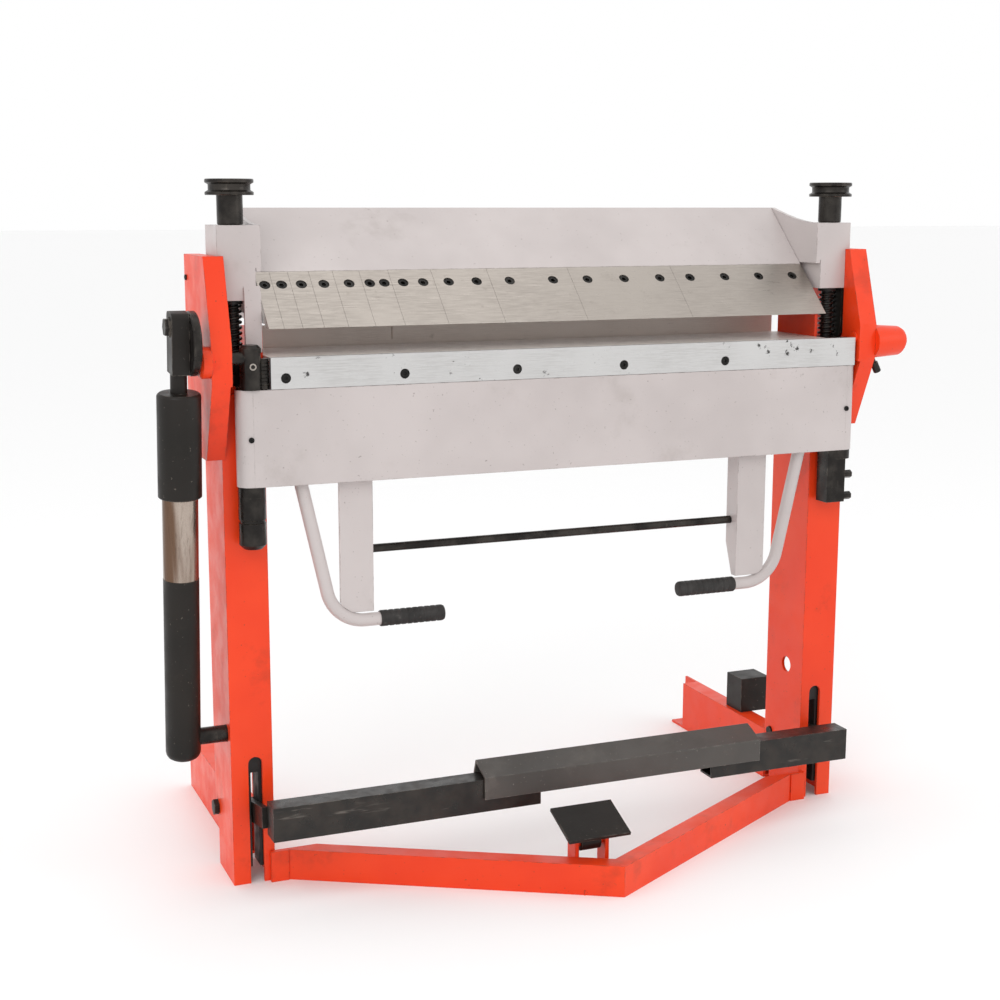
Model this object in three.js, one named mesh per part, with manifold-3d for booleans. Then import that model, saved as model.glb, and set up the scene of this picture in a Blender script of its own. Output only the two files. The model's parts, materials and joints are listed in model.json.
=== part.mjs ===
// Foot-operated box and pan brake, in millimetres, +Z up, standing on the floor at z = 0.
//
// The bend line, where the apron folds, is the design's datum: x = 0 is the mid-plane, y = 0 the bend
// line and -Y the operator's side. The finished model is moved so that its origin lies on the floor under
// the middle of its outline.
//
// The treadle pulls the clamping beam down on the bed; the apron in front then folds the sheet up round
// the fingers' nose. A spring cylinder on the left balances the apron's weight through a crank disc.
import * as THREE from 'three';
import { mergeVertices } from 'three/addons/utils/BufferGeometryUtils.js';
import Module from 'manifold-3d';

const wasm = await Module();
wasm.setup();

// ---------------------------------------------------------------- driving dimensions
const GAP = 0.3;                        // clearance between touching pieces

const FINGER_WIDTHS = [25, 30, 35, 40, 45, 50, 75, 100, 150, 200, 270];
const ROW_HALF = 510;                   // half of the finger row and of the bed
const BED_TOP = 881;
const STROKE = 43;                      // from the raised nose down to the bed
const NOSE = { y: 2, z: BED_TOP + STROKE + 0.4 };
const SLOPE = THREE.MathUtils.degToRad(43.4);
const FINGER_LENGTH = 123.5;
const FINGER_THICK = 14;
const BEAM_TOP = 1110;

const COLUMN = { inner: 511, outer: 581, front: 40, rear: 165, top: 920, frontTop: 820, wall: 6 };
const SLOT = { x: 540.6, width: 23, top: 219 };
const BRACKET = { outer: 606, top: 1037, front: 26, nose: -16, foot: 717 };
const REACH_IN = { left: 573.5, right: 571 };   // how far the brackets' front plates reach in
const SHELL_WALL = 6;

const ROD_RADIUS = 10;
const COLLAR = { radius: 16.5, height: 5.7 };
const BLOCK = { inner: 510.4, outer: 580.5, rear: 118, bottom: 967, top: 1084 };
const ADJUSTER = { x: 552, y: 66, rim: 38, shaft: 20.5, top: 1155, rimHeight: 25 };

const APRON = { front: -10, thick: 10, bottom: 677 };
const BAR = { left: -511.5, right: 566.5, height: 50 };
const POST = { leftX: -541, rightX: 552, y: 13.4, tubeRadius: 23.2, radius: 21.8, foot: 576 };
const POST_EYE = { y: 2, radius: 17 };
const SHAFT_RADIUS = 10;
const HANDLE = { y: 13, shiftX: 4, topX: 466, bend: 66, z: 441, radius: 11 };
const GRIP = { start: 335, end: 222, radius: 13.5 };
const ARM = { inner: 342, outer: 399, front: 9, rear: 46, bottom: 456 };
const ROD_Z = 556;

const TREADLE = { pivotY: 146, pivotZ: 102, front: -62, rear: -22, bottom: 107, top: 164 };
const TREADLE_BAR = { left: [-538, -70], right: [262, 546] };
const TREAD = { left: -175, right: 358 };
const LEVER_THICK = 11;

const BASE = { apexY: -245, height: 53, width: 31, endX: 511, endY: 45 };
const FOOT = { inner: 511, outer: 547, height: 100, rear: 545, webRear: 498, wall: 5 };
const PEDAL = { x: -27, width: 112, depth: 84, pivotY: -162, pivotZ: 70, tilt: THREE.MathUtils.degToRad(21) };

const BALANCE = { x: -652.3, pivotY: 68, pivotZ: 257, crankRadius: 51, bodyRadius: 28.4, sleeveRadius: 34.2 };
const CRANK_DISC = { left: -638.2, thick: 12.7, radius: 50, z: BED_TOP + 25 };
const ROD_END = { halfWidth: 13.5, halfDepth: 20, above: 23, below: 72 };
const BOSS = { end: 672.5, radius: 29.5, z: 872 };
const LEFT_BOSS = { length: 18, radius: 25, z: 876 };
const ORIGIN_X = (BALANCE.x - BALANCE.sleeveRadius + BOSS.end) / 2;
const ORIGIN_Y = (BASE.apexY + FOOT.rear) / 2;

// ---------------------------------------------------------------- materials
const paint = (color, roughness, metalness = 0.05) =>
  new THREE.MeshStandardMaterial({ color, roughness, metalness });
const ORANGE = paint('#ee5434', 0.42);
const GREY = paint('#c9bfbd', 0.45);
const BLACK = paint('#33302d', 0.5, 0.4);
const TREAD_GREY = paint('#544f4a', 0.55, 0.3);
const STEEL = paint('#bcb6b0', 0.28, 0.9);
const BAR_STEEL = paint('#ccd2d8', 0.3, 0.9);
const TUBE_STEEL = paint('#a08d7c', 0.3, 0.9);
const RUBBER = paint('#2e2b29', 0.75, 0);

// ---------------------------------------------------------------- solids
/** Makes a solid of a closed geometry, turned right side out. */
function solid(geometry) {
  const bare = geometry.index ? geometry.clone() : geometry;
  bare.deleteAttribute('normal');
  bare.deleteAttribute('uv');
  const merged = mergeVertices(bare, 1e-3);
  const p = merged.attributes.position;
  const tri = [];
  for (let i = 0; i < merged.index.count; i += 3) {
    const [a, b, c] = [0, 1, 2].map((k) => merged.index.getX(i + k));
    if (a !== b && b !== c && c !== a) tri.push(a, b, c);
  }
  const at = (i) => new THREE.Vector3().fromBufferAttribute(p, i);
  let volume = 0;
  for (let i = 0; i < tri.length; i += 3) {
    volume += at(tri[i]).dot(at(tri[i + 1]).cross(at(tri[i + 2])));
  }
  if (volume < 0) tri.reverse();
  return new wasm.Manifold(new wasm.Mesh({
    numProp: 3,
    vertProperties: new Float32Array(p.array),
    triVerts: new Uint32Array(tri),
  }));
}

const join = (first, ...rest) => rest.reduce((sum, piece) => sum.add(piece), first);
const cut = (first, ...tools) => tools.reduce((left, tool) => left.subtract(tool), first);

/** A block between two corners. */
function block(x0, x1, y0, y1, z0, z1) {
  const geometry = new THREE.BoxGeometry(x1 - x0, y1 - y0, z1 - z0);
  return solid(geometry.translate((x0 + x1) / 2, (y0 + y1) / 2, (z0 + z1) / 2));
}

function shapeOf(outline) {
  return new THREE.Shape(outline.map(([a, b]) => new THREE.Vector2(a, b)));
}

/** Extrudes a (y, z) outline from x0 to x1. */
function prismX(outline, x0, x1) {
  const geometry = new THREE.ExtrudeGeometry(shapeOf(outline), { depth: x1 - x0, bevelEnabled: false });
  const turn = new THREE.Matrix4().makeBasis(
    new THREE.Vector3(0, 1, 0), new THREE.Vector3(0, 0, 1), new THREE.Vector3(1, 0, 0));
  return solid(geometry.applyMatrix4(turn).translate(x0, 0, 0));
}

/** Extrudes an (x, y) outline from z0 to z1. */
function prismZ(outline, z0, z1) {
  const geometry = new THREE.ExtrudeGeometry(shapeOf(outline), { depth: z1 - z0, bevelEnabled: false });
  return solid(geometry.translate(0, 0, z0));
}

/** Turns a (radius, height) profile round an axis that starts at a point; a ring's profile is closed here. */
function turned(profile, start, direction, sides = 24) {
  const closed = profile[0][0] > 0 ? [...profile, profile[0]] : profile;
  const points = closed.map(([r, h]) => new THREE.Vector2(r, h));
  const geometry = new THREE.LatheGeometry(points, sides);
  const aim = new THREE.Quaternion().setFromUnitVectors(new THREE.Vector3(0, 1, 0), direction);
  return solid(geometry.applyQuaternion(aim).translate(...start));
}

const AXIS_X = new THREE.Vector3(1, 0, 0);
const AXIS_Y = new THREE.Vector3(0, 1, 0);
const AXIS_Z = new THREE.Vector3(0, 0, 1);

const rodX = (x0, x1, y, z, r, sides = 20) =>
  turned([[0, 0], [r, 0], [r, x1 - x0], [0, x1 - x0]], [x0, y, z], AXIS_X, sides);
const rodY = (x, y0, y1, z, r, sides = 20) =>
  turned([[0, 0], [r, 0], [r, y1 - y0], [0, y1 - y0]], [x, y0, z], AXIS_Y, sides);
const rodZ = (x, y, z0, z1, r, sides = 20) =>
  turned([[0, 0], [r, 0], [r, z1 - z0], [0, z1 - z0]], [x, y, z0], AXIS_Z, sides);

/** Sweeps a round bar of one radius along a curve. */
function sweep(curve, radius, steps, sides) {
  const ring = new THREE.Shape();
  for (let i = 0; i < sides; i++) {
    const a = (2 * Math.PI * i) / sides;
    const point = [radius * Math.cos(a), radius * Math.sin(a)];
    if (i === 0) ring.moveTo(...point);
    else ring.lineTo(...point);
  }
  return solid(new THREE.ExtrudeGeometry(ring, { steps, extrudePath: curve, bevelEnabled: false }));
}

/** A coil spring round a line through `start`; its length lies along `direction`. */
function coil(start, direction, length, coilRadius, wireRadius, turns, stepsPerTurn = 9) {
  const aim = new THREE.Quaternion().setFromUnitVectors(AXIS_Z, direction);
  const points = [];
  for (let i = 0; i <= turns * stepsPerTurn; i++) {
    const a = (2 * Math.PI * i) / stepsPerTurn;
    const h = wireRadius + ((length - 2 * wireRadius) * i) / (turns * stepsPerTurn);
    const point = new THREE.Vector3(coilRadius * Math.cos(a), coilRadius * Math.sin(a), h);
    points.push(point.applyQuaternion(aim).add(new THREE.Vector3(...start)));
  }
  return sweep(new THREE.CatmullRomCurve3(points), wireRadius, turns * stepsPerTurn, 5);
}

/** Reverses a solid left to right. */
const mirrored = (piece) => piece.mirror([1, 0, 0]);

function mesh(name, piece, material) {
  const { vertProperties, triVerts } = piece.getMesh();
  const geometry = new THREE.BufferGeometry();
  geometry.setAttribute('position', new THREE.BufferAttribute(vertProperties, 3));
  geometry.setIndex(new THREE.BufferAttribute(triVerts, 1));
  geometry.computeVertexNormals();
  const made = new THREE.Mesh(geometry, material);
  made.name = name;
  return made;
}

/** The same piece on both sides: `make` builds the right-hand one. */
function pair(name, make, material) {
  return [mesh(`left_${name}`, mirrored(make()), material), mesh(`right_${name}`, make(), material)];
}

// ---------------------------------------------------------------- stand
/** A folded channel, open to the rear, with the treadle's slot in its front; `sideHole` cuts one wall. */
function column(sideHole) {
  const { inner, outer, front, rear, top, frontTop, wall } = COLUMN;
  const side = [[front, 0], [rear - 20, 0], [rear - 20, 75], [rear, 75], [rear, top], [front, top]];
  const slotLeft = SLOT.x - SLOT.width / 2;
  const slotRight = SLOT.x + SLOT.width / 2;
  const slotArc = SLOT.top - SLOT.width / 2;
  const guide = block(inner, outer, ADJUSTER.y - 17, rear, frontTop, frontTop + 12);
  return cut(
    join(
      prismX(side, inner, inner + wall),
      prismX(side, outer - wall, outer),
      block(inner, outer, front, front + wall, 0, frontTop),
      guide,
    ),
    block(slotLeft, slotRight, front - 1, front + wall + 1, -1, slotArc),
    rodY(SLOT.x, front - 1, front + wall + 1, slotArc, SLOT.width / 2),
    rodZ(ADJUSTER.x, ADJUSTER.y, frontTop - 1, 880, ROD_RADIUS + 0.5),
    rodX(inner - 1, outer + 1, TREADLE.pivotY, TREADLE.pivotZ, 9),
    sideHole,
  );
}

/** The hole for the cylinder's pin in the left column's outer wall, before it is mirrored. */
const pinHole = () => rodX(COLUMN.outer - 10, COLUMN.outer + 1, BALANCE.pivotY, BALANCE.pivotZ, 14.3);

/** The free hole in the right column's inner wall. */
const freeHole = () => rodX(COLUMN.inner - 1, COLUMN.inner + 10, 96, 250, 15);

/** The tapered box on the column's outside that carries the apron's pivot; its front part reaches inwards. */
function pivotBracket(reachIn, boss, boreEnd) {
  const { outer, top, front, nose, foot } = BRACKET;
  const face = [[front, top], [nose, 903], [nose, 845], [COLUMN.front - 1.5, foot]];
  const x0 = COLUMN.outer + GAP;
  const rear = COLUMN.rear;
  const wall = SHELL_WALL;
  const hollow = [[rear + 1, foot + wall], [rear + 1, top - wall], [front + wall + 3, top - wall], [30, 925],
    [30, 830], [COLUMN.front + wall, foot + wall]];
  const shell = cut(
    prismX([...face, [rear, foot], [rear, top]], x0, outer),
    prismX(hollow, x0 + wall, outer - wall),
  );
  const ahead = COLUMN.front - GAP;
  const postSide = POST.rightX + POST.tubeRadius + 1;
  const plate = prismX([...face, [ahead, foot], [ahead, top]], reachIn, x0 + 1);
  return cut(
    join(shell, plate, boss),
    rodX(reachIn - 1, boreEnd, 0, BED_TOP, SHAFT_RADIUS + 0.5),
    block(reachIn - 1, postSide, nose - 1, ahead + 1, foot - 1, BED_TOP - BAR.height + 7),
  );
}

/** The short boss between the left bracket and the crank disc, before it is mirrored. */
function leftBoss() {
  const { length, radius, z } = LEFT_BOSS;
  return turned([[0, 0], [radius, 0], [radius, length - 4], [radius - 4, length], [0, length]],
    [BRACKET.outer - 1, 0, z], AXIS_X);
}

/** The boss that closes the right bracket's bore; its end is cut at a slant. */
function rightBoss() {
  const { end, radius, z } = BOSS;
  const length = end - BRACKET.outer + 1;
  const profile = [[0, 0], [radius, 0], [radius, 12], [radius - 3, length - 12], [radius - 7, length - 4],
    [radius - 12, length], [0, length]];
  const slant = block(0, 40, -40, 40, -60, 60).rotate([0, 13, 0]).translate([end - 4, 0, z]);
  return turned(profile, [BRACKET.outer - 1, 0, z], AXIS_X).subtract(slant);
}

/** The bearing block that guides the pull rod down into the column. */
function rodGuide() {
  const { inner, wall, frontTop } = COLUMN;
  const { x, y } = ADJUSTER;
  const body = block(inner + wall + GAP, x + 15.5, y - 15.5, y + 34, frontTop + 12 + GAP, 878);
  return body.subtract(rodZ(x, y, frontTop, 880, ROD_RADIUS + 0.5));
}

/** Two lengths of tube that meet in a point in front of the machine. */
function frontBaseBar() {
  const { apexY, height, width, endX, endY } = BASE;
  const run = width / Math.cos(Math.atan2(endY - apexY, endX));
  const end = Math.min(endY, COLUMN.front - GAP);
  const slope = (endY - apexY) / endX;
  const xEnd = (end - apexY) / slope;
  const outer = [[0, apexY], [xEnd, end], [xEnd - run / slope, end], [0, apexY + run],
    [-xEnd + run / slope, end], [-xEnd, end]];
  const wall = 4;
  const inset = wall / Math.cos(Math.atan(slope));
  const tube = [[0, apexY + inset], [xEnd, end + inset + 2], [xEnd - 30, end + inset + 2],
    [0, apexY + run - inset], [-xEnd + 30, end + inset + 2], [-xEnd, end + inset + 2]];
  const lips = [-1, 1].map((side) => {
    const xs = [side * (xEnd - 12), side * (xEnd + 18)].sort((a, b) => a - b);
    return block(...xs, end - 9, end, 0, height);
  });
  const bar = cut(join(prismZ(outer, 0, height), ...lips), prismZ(tube, wall, height - wall));
  return bar.add(pedalBracket());
}

/** A box-section foot that runs back along the floor. */
function rearFoot() {
  const { inner, outer, height, rear, webRear, wall } = FOOT;
  const start = COLUMN.rear + GAP;
  return join(
    block(inner, outer, start, rear, 0, wall),
    block(inner, inner + wall, start, webRear, 0, height),
    block(outer - wall, outer, start, rear, 0, height),
    block(inner, outer, start, webRear, height - wall, height),
  );
}

const rearWeight = () => block(FOOT.inner + 9, 583, 272, 330, FOOT.height + GAP, 170);

/** The fixed box beam under the sheet, open at both ends. */
function bedBeam() {
  const [y0, y1, z0, z1, wall] = [GAP, 140, 700, 867, 8];
  return cut(
    block(-ROW_HALF - 0.5, ROW_HALF + 0.5, y0, y1, z0, z1),
    block(-ROW_HALF - 2, ROW_HALF + 2, y0 + wall, y1 - wall, z0 + wall, z1 - wall),
  );
}

const bedPlate = () => block(-ROW_HALF - 0.5, ROW_HALF + 0.5, GAP, COLUMN.rear, 867 + GAP, BED_TOP);

/** The upright behind the bed, with the slot of a stop in it. */
function rearRail() {
  const outline = [[COLUMN.rear + GAP, 869], [215, 869], [215, 915], [209, 915], [209, 875],
    [COLUMN.rear + GAP, 875]];
  return prismX(outline, -525, 525).subtract(block(-249, -238, 208, 212, 885, 907));
}

/** The stub that carries the lower end of the balance cylinder. */
function cylinderPin() {
  const { x, pivotY, pivotZ } = BALANCE;
  return rodX(x + 8, -COLUMN.outer + COLUMN.wall + 6, pivotY, pivotZ, 14);
}

/** Two ears behind the base bar's point, which hold the small pedal's pin. */
function pedalBracket() {
  const { x, pivotY, pivotZ } = PEDAL;
  const y0 = pivotY - 14;
  const y1 = pivotY + 16;
  const ears = [-1, 1].map((side) => {
    const xs = [x + side * 24, x + side * 31].sort((a, b) => a - b);
    return block(...xs, y0, y1, 0, 84);
  });
  const floor = block(x - 31, x + 31, BASE.apexY + BASE.width, y1, 0, 8);
  return join(...ears, floor, rodX(x - 31, x + 31, pivotY, pivotZ, 6));
}

// ---------------------------------------------------------------- clamping beam
/** A point of the beam's section: `along` the fingers' slope from the nose, `out` of their face. */
function onFace(along, out) {
  return [
    NOSE.y + along * Math.cos(SLOPE) - out * Math.sin(SLOPE),
    NOSE.z + along * Math.sin(SLOPE) + out * Math.cos(SLOPE),
  ];
}

/** A hollow three-cornered beam with a seat for the fingers along its lower front. */
function beamShell() {
  const seat = -FINGER_THICK - GAP;
  const bottom = NOSE.z + 6;
  const rear = 206;
  const alongAt = (z, out) => (z - NOSE.z - out * Math.cos(SLOPE)) / Math.sin(SLOPE);
  const outline = [
    onFace(alongAt(bottom, seat), seat), onFace(FINGER_LENGTH + GAP, seat), onFace(FINGER_LENGTH + GAP, 0),
    onFace(alongAt(BEAM_TOP, 0), 0), [rear, BEAM_TOP], [rear, bottom],
  ].reverse();
  const skin = -24;
  const wall = 9;
  const innerRear = rear - wall;
  const alongRear = (innerRear - NOSE.y + skin * Math.sin(SLOPE)) / Math.cos(SLOPE);
  const hollow = [
    onFace(alongAt(bottom + wall, skin), skin), [innerRear, bottom + wall], onFace(alongRear, skin),
  ];
  return prismX(outline, -ROW_HALF, ROW_HALF).subtract(prismX(hollow, -ROW_HALF - 1, ROW_HALF + 1));
}

/** How far each hole lies from a finger's centre. */
function holeOffsets(width) {
  if (width < 50) return [0];
  if (width === 50) return [-12.5, 12.5];
  if (width === 75) return [-17.5, 17.5];
  if (width === 100) return [-25, 25];
  if (width === 150) return [-40, 40];
  if (width === 200) return [-70, 0, 70];
  return [-105, -35, 35, 105];
}

/** One finger, with its flat clamping foot and its screw holes. */
function finger(left, width) {
  const outline = [
    onFace(0, 0), [NOSE.y + FINGER_THICK / Math.sin(SLOPE), NOSE.z],
    onFace(FINGER_LENGTH, -FINGER_THICK), onFace(FINGER_LENGTH, 0),
  ];
  const normal = new THREE.Vector3(0, -Math.sin(SLOPE), Math.cos(SLOPE));
  const holes = holeOffsets(width).map((offset) => {
    const [y, z] = onFace(FINGER_LENGTH - 28.6, -FINGER_THICK - 1);
    const profile = [[0, 0], [5.5, 0], [5.5, 8], [9, 8], [9, 18], [0, 18]];
    return turned(profile, [left + width / 2 + offset, y, z], normal, 16);
  });
  return cut(prismX(outline, left + 0.15, left + width - 0.15), ...holes);
}

function fingers() {
  let left = -ROW_HALF;
  return FINGER_WIDTHS.map((width, i) => {
    const made = mesh(`finger_${String(i + 1).padStart(2, '0')}_${width}mm`, finger(left, width), STEEL);
    left += width;
    return made;
  });
}

/** The sliding block at the beam's end, with its cheek across the end of the sloping plate. */
function endBlock(withTongue) {
  const { inner, outer, rear, bottom, top } = BLOCK;
  const front = COLUMN.front;
  const [cheekRear, cheekFoot] = [206, 1012];
  const cheek = [[front, cheekFoot], [cheekRear, cheekFoot], [cheekRear, BEAM_TOP], [198, BEAM_TOP]];
  for (let i = 1; i <= 6; i++) {
    const t = i / 6;
    cheek.push([198 - 158 * t, BEAM_TOP - (BEAM_TOP - top) * Math.sin((t * Math.PI) / 2)]);
  }
  const tongue = prismX([[34, 886], [front - GAP, 886], [front - GAP, bottom + 0.5],
    [front + 1, bottom + 0.5], [front + 1, bottom + 23], [front, bottom + 23], [34, bottom + 8]], 513, 540);
  const whole = join(
    block(inner + 9, outer, front, rear, bottom, top),
    ...(withTongue ? [tongue] : []),
    block(inner, inner + 10, front, rear, 1018, top),
    prismX(cheek, inner, inner + 8),
  );
  return cut(
    whole,
    rodZ(ADJUSTER.x, ADJUSTER.y, 1010, top + 1, 12.5),
    rodZ(ADJUSTER.x, ADJUSTER.y, bottom - 1, 1011, ROD_RADIUS + 0.5),
    rodZ(ADJUSTER.x, ADJUSTER.y, bottom - 1, bottom + 23, COLLAR.radius + 1),
  );
}

/** The rod that the treadle pulls, with a slotted fork at its foot and a collar on top of the lift spring. */
function pullRod() {
  const collarTop = BLOCK.bottom - GAP;
  const { x, y } = ADJUSTER;
  const collar = rodZ(x, y, collarTop - COLLAR.height, collarTop, COLLAR.radius);
  const half = LEVER_THICK / 2 + 0.8;
  const cheek = 9;
  const [low, high] = [26, 226];
  const fork = cut(
    block(SLOT.x - half - cheek, SLOT.x + half + cheek, y - 18, y + 20, low, high),
    block(SLOT.x - half, SLOT.x + half, y - 19, y + 21, low - 1, 190),
    block(SLOT.x - 20, SLOT.x + 20, y - 12, y + 12, leverPinZ() - 8, leverPinZ() + 8),
  );
  return join(rodZ(x, y, high - 2, 1000, ROD_RADIUS), collar, fork);
}

/** A grooved knob; its hollow shaft runs down into the end block and takes the rod's end. */
function adjuster() {
  const { x, y, rim, shaft, top, rimHeight } = ADJUSTER;
  const foot = 1012;
  const neck = BLOCK.top + GAP;
  const rimFoot = top - rimHeight;
  const groove = rim - 4;
  const bore = ROD_RADIUS + 0.5;
  const profile = [
    [bore, foot], [12, foot], [12, neck], [shaft - 2, neck], [shaft, neck + 2], [shaft, rimFoot],
    [rim, rimFoot], [rim, rimFoot + 4], [groove, rimFoot + 6.5], [groove, rimFoot + 17.5],
    [rim, rimFoot + 20], [rim, top - 1], [rim - 1, top], [0, top], [0, 1060], [bore, 1060],
  ].map(([r, z]) => [r, z - foot]);
  return turned(profile, [x, y, foot], AXIS_Z, 28);
}

// ---------------------------------------------------------------- treadle
/** Height of the pin that joins the lever to the pull rod, at rest. */
function leverPinZ() {
  const { pivotY, pivotZ, rear, top, bottom } = TREADLE;
  const barMiddle = (top + bottom) / 2;
  return pivotZ + ((pivotY - ADJUSTER.y) * (barMiddle - pivotZ)) / (pivotY - rear);
}

/** The lever inside the column, from its pivot pin to the treadle bar. */
function treadleLever() {
  const { pivotY, pivotZ, rear, top, bottom } = TREADLE;
  const barMiddle = (top + bottom) / 2;
  const half = 18;
  const x0 = SLOT.x - LEVER_THICK / 2;
  const x1 = SLOT.x + LEVER_THICK / 2;
  const outline = [
    [rear + GAP, barMiddle - half], [pivotY, pivotZ - half], [pivotY + 14, pivotZ - 12],
    [pivotY + 14, pivotZ + 12], [pivotY, pivotZ + half], [rear + GAP, barMiddle + half],
  ];
  return join(
    prismX(outline, x0, x1),
    rodX(x0 - 10, x1 + 10, ADJUSTER.y, leverPinZ(), 6),
    rodX(COLUMN.inner - 4, COLUMN.outer + 3, pivotY, pivotZ, 8.5),
    rodX(COLUMN.outer + GAP, COLUMN.outer + 9, pivotY, pivotZ, 14, 6),
  );
}

/** A length of the treadle's rectangular tube, closed at its outer end and open under the foot plate. */
function treadleBar([x0, x1]) {
  const { front, rear, bottom, top } = TREADLE;
  const wall = 4;
  const hollow = x0 < 0 ? [x0 + wall, x1 + 1] : [x0 - 1, x1 - wall];
  return cut(
    block(x0, x1, front, rear, bottom, top),
    block(...hollow, front + wall, rear - wall, bottom + wall, top - wall),
  );
}

/** The folded foot plate that joins the two bars. */
function footPlate() {
  const outline = [
    [-68, 130], [-64, 130], [-64, 166], [-25, 181.5], [-17.5, 160], [-13.7, 161.3], [-22.6, 187], [-68, 169],
  ];
  return prismX(outline, TREAD.left, TREAD.right);
}

// ---------------------------------------------------------------- small pedal
function pedal() {
  const { x, width, depth, pivotY, pivotZ, tilt } = PEDAL;
  const plate = new THREE.BoxGeometry(width, depth, 6).rotateX(tilt).translate(x, -168, 107);
  const hub = cut(
    join(
      rodX(x - 18, x + 18, pivotY, pivotZ, 13),
      block(x - 18, x + 18, pivotY - 10, pivotY + 10, pivotZ, 106),
    ),
    rodX(x - 19, x + 19, pivotY, pivotZ, 6.5),
  );
  return solid(plate).add(hub);
}

// ---------------------------------------------------------------- apron
/** The folding leaf: a flat face, a return along its foot, and a tube round each end. */
function apronPanel() {
  const { front, thick, bottom } = APRON;
  const top = BED_TOP - BAR.height - GAP;
  const rear = front + thick;
  const posts = [POST.leftX, POST.rightX];
  const ends = posts.map((x) => rodZ(x, POST.y, bottom, top, POST.tubeRadius, 32));
  const bores = posts.map((x) => rodZ(x, POST.y, bottom - 1, top + 1, POST.radius + GAP, 32));
  return cut(
    join(
      block(...posts, front, rear, bottom, top),
      block(...posts, front, POST.y + 21, bottom, bottom + 8),
      ...ends,
    ),
    ...bores,
  );
}

/** The ground bar along the apron's top edge, with countersinks for its screws. */
function apronBar() {
  const { front, thick } = APRON;
  const holes = [0, 1, 2, 3, 4].map((i) => {
    const profile = [[0, 0], [8, 0], [8, 5], [0, 5]];
    return turned(profile, [-487.5 + 196.6 * i, front - 0.1, 848], AXIS_Y, 20);
  });
  return cut(
    block(BAR.left, BAR.right, front, front + thick, BED_TOP - BAR.height, BED_TOP), ...holes);
}

/** The round post in the apron's end tube, up to `top`, with a hole for the pivot shaft. */
function pivotPost(x, top, foot, ...clearances) {
  const shoulder = BED_TOP - BAR.height;
  const low = rodZ(x, POST.y, 660, shoulder + 5, POST.radius, 32);
  const rise = top - shoulder;
  const eyeProfile = [[0, 0], [POST_EYE.radius, 0], [POST_EYE.radius, rise - 5], [POST_EYE.radius - 5, rise],
    [0, rise]];
  const eye = turned(eyeProfile, [x, POST_EYE.y, shoulder], AXIS_Z);
  const shaft = rodX(x - 30, x + 30, 0, BED_TOP, SHAFT_RADIUS + GAP);
  return cut(join(low, foot, eye), shaft, ...clearances);
}

/** The left post's lower end: round, with a collar and a chamfered tip. */
function roundFoot() {
  const { radius, foot } = POST;
  const profile = [[0, 0], [radius - 7, 0], [radius, 7], [radius, 42], [radius - 1.5, 43], [radius - 1.5, 47],
    [radius, 48], [radius, 90], [0, 90]];
  return turned(profile, [POST.leftX, POST.y, foot], AXIS_Z);
}

/** The right post's lower end: a square block with two bolts in its side. */
function squareFoot() {
  const { foot, y } = POST;
  const bolts = [588, 628].map((z) => rodX(550, 582, y, z, 7.5, 6));
  return join(block(522, 560, y - 16, y + 18, foot + 4, 676), ...bolts);
}

/** What the right post leaves free for the bar in front of it. */
function barClearance() {
  const { front, thick } = APRON;
  return block(500, 600, front - 20, front + thick + GAP, BED_TOP - BAR.height - GAP, BED_TOP + GAP);
}

/** The left pivot shaft and the crank disc on its outer end. */
function crankShaft() {
  const { left, thick, radius, z } = CRANK_DISC;
  const profile = [[0, 0], [radius - 2, 0], [radius, 2], [radius, thick - 2], [radius - 2, thick],
    [0, thick]];
  const disc = turned(profile, [left, 0, z], AXIS_X, 32);
  return join(rodX(left + 5, POST.leftX + 14, 0, BED_TOP, SHAFT_RADIUS), disc);
}

/** The right pivot shaft, from the bar's end into the boss. */
const rightShaft = () => rodX(BAR.right + GAP, BOSS.end - 22, 0, BED_TOP, SHAFT_RADIUS);

/** The route of a handle: down from the apron, round a bend and inwards. */
function handleCurve(endX) {
  const { y, topX, bend, z } = HANDLE;
  const lean = THREE.MathUtils.degToRad(12.5);
  const curve = new THREE.CurvePath();
  const centre = new THREE.Vector3(0, y, z + bend);
  const start = APRON.bottom + 4;
  const turnX = topX - Math.tan(lean) * (start - (centre.z - bend * Math.sin(lean)));
  centre.x = turnX - bend * Math.cos(lean);
  const steps = 7;
  const points = [new THREE.Vector3(topX, y, start)];
  for (let i = 0; i <= steps; i++) {
    const a = -lean - ((Math.PI / 2 - lean) * i) / steps;
    points.push(new THREE.Vector3(centre.x + bend * Math.cos(a), y, centre.z + bend * Math.sin(a)));
  }
  points.push(new THREE.Vector3(endX, y, z));
  for (let i = 1; i < points.length; i++) curve.add(new THREE.LineCurve3(points[i - 1], points[i]));
  return new THREE.CatmullRomCurve3(points, false, 'catmullrom', 0.1);
}

/** The bent tube of a right-hand handle, or with a larger radius the room it takes up. */
function handle(radius = HANDLE.radius) {
  const { topX, y } = HANDLE;
  const above = block(topX - 30, topX + 30, y - 30, y + 30, APRON.bottom - GAP, APRON.bottom + 30);
  return sweep(handleCurve(GRIP.end + 4), radius, 20, 12).subtract(above);
}

function grip() {
  const outer = GRIP.radius;
  const length = GRIP.start - GRIP.end;
  const bore = HANDLE.radius + GAP;
  const profile = [[0, 0], [outer - 2, 0], [outer, 2], [outer, length], [bore, length], [bore, 3], [0, 3]];
  return turned(profile, [GRIP.end, HANDLE.y, HANDLE.z], AXIS_X);
}

const handleSpace = (shift) => handle(HANDLE.radius + GAP).translate(shift, 0, 0);

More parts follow.
